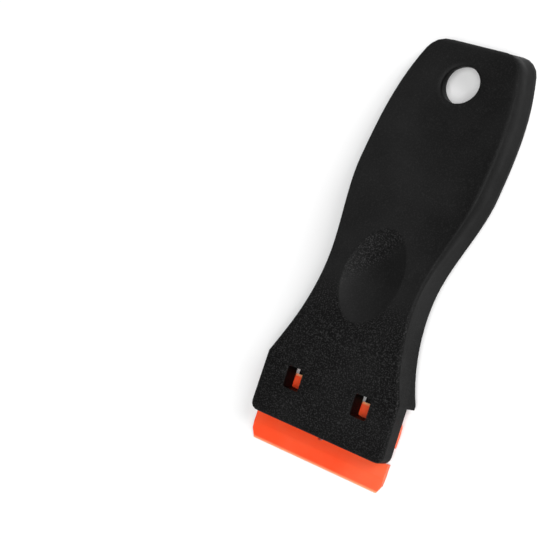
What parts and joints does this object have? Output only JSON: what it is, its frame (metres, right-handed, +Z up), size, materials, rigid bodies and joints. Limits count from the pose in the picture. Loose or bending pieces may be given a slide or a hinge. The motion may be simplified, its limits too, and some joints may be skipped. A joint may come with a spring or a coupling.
{
  "type": "razor blade scraper",
  "caption": "Hand scraper with a bowed, open-backed handle whose flat jaw grips a double-edged plastic blade that slides out forwards.",
  "frame": {"origin": "middle of the footprint, on the surface that the scraper lies on, on its back", "axes": "+Z up out of the front with the thumb dish, +Y along the handle towards the hanging hole, +X across"},
  "size_m": [0.0396, 0.1116, 0.0107],
  "materials": {
    "handle_plastic": "moulded black plastic with a fine sparkle grain",
    "blade_plastic": "slightly translucent orange plastic, matt"
  },
  "bodies": {
    "holder": {"handle": "handle_plastic"},
    "blade": {"blade": "blade_plastic"}
  },
  "joints": [
    {"name": "blade_slide", "type": "slide", "parent": "holder", "child": "blade", "axis": [0, -0.9838, -0.1791], "range_m": [0, 0.014]}
  ]
}
